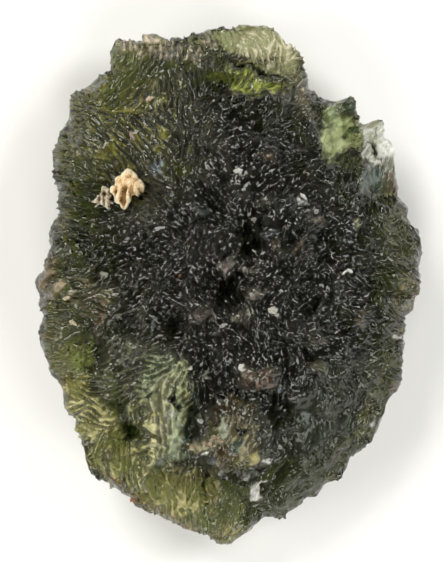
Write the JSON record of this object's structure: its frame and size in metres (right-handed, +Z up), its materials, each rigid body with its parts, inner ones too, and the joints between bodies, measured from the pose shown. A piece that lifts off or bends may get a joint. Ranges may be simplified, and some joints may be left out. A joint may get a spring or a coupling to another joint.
{
  "type": "raw moldavite",
  "caption": "Flat oval piece of raw olive-green natural glass with an etched, knobby, pitted surface, a scalloped ledge, thin clear flaps and small crumbs of sediment.",
  "frame": {"origin": "on the surface that the stone lies on, under the middle of its outline", "axes": "+Z up through the thickness, from the back that it lies on to the front; +Y along the length, towards the thin scalloped ledge; +X across the width, towards the side with the clear flaps"},
  "size_m": [0.0268, 0.0362, 0.0109],
  "materials": {
    "natural_glass": "acid-etched, glossy on ridges and satin in hollows",
    "tan_sediment": "dry, matte, crumbly",
    "pale_sediment": "dry, matte, crumbly"
  },
  "bodies": {
    "root": {"moldavite": "natural_glass", "tan_crumb": "tan_sediment", "pale_crumb": "pale_sediment"}
  },
  "joints": []
}
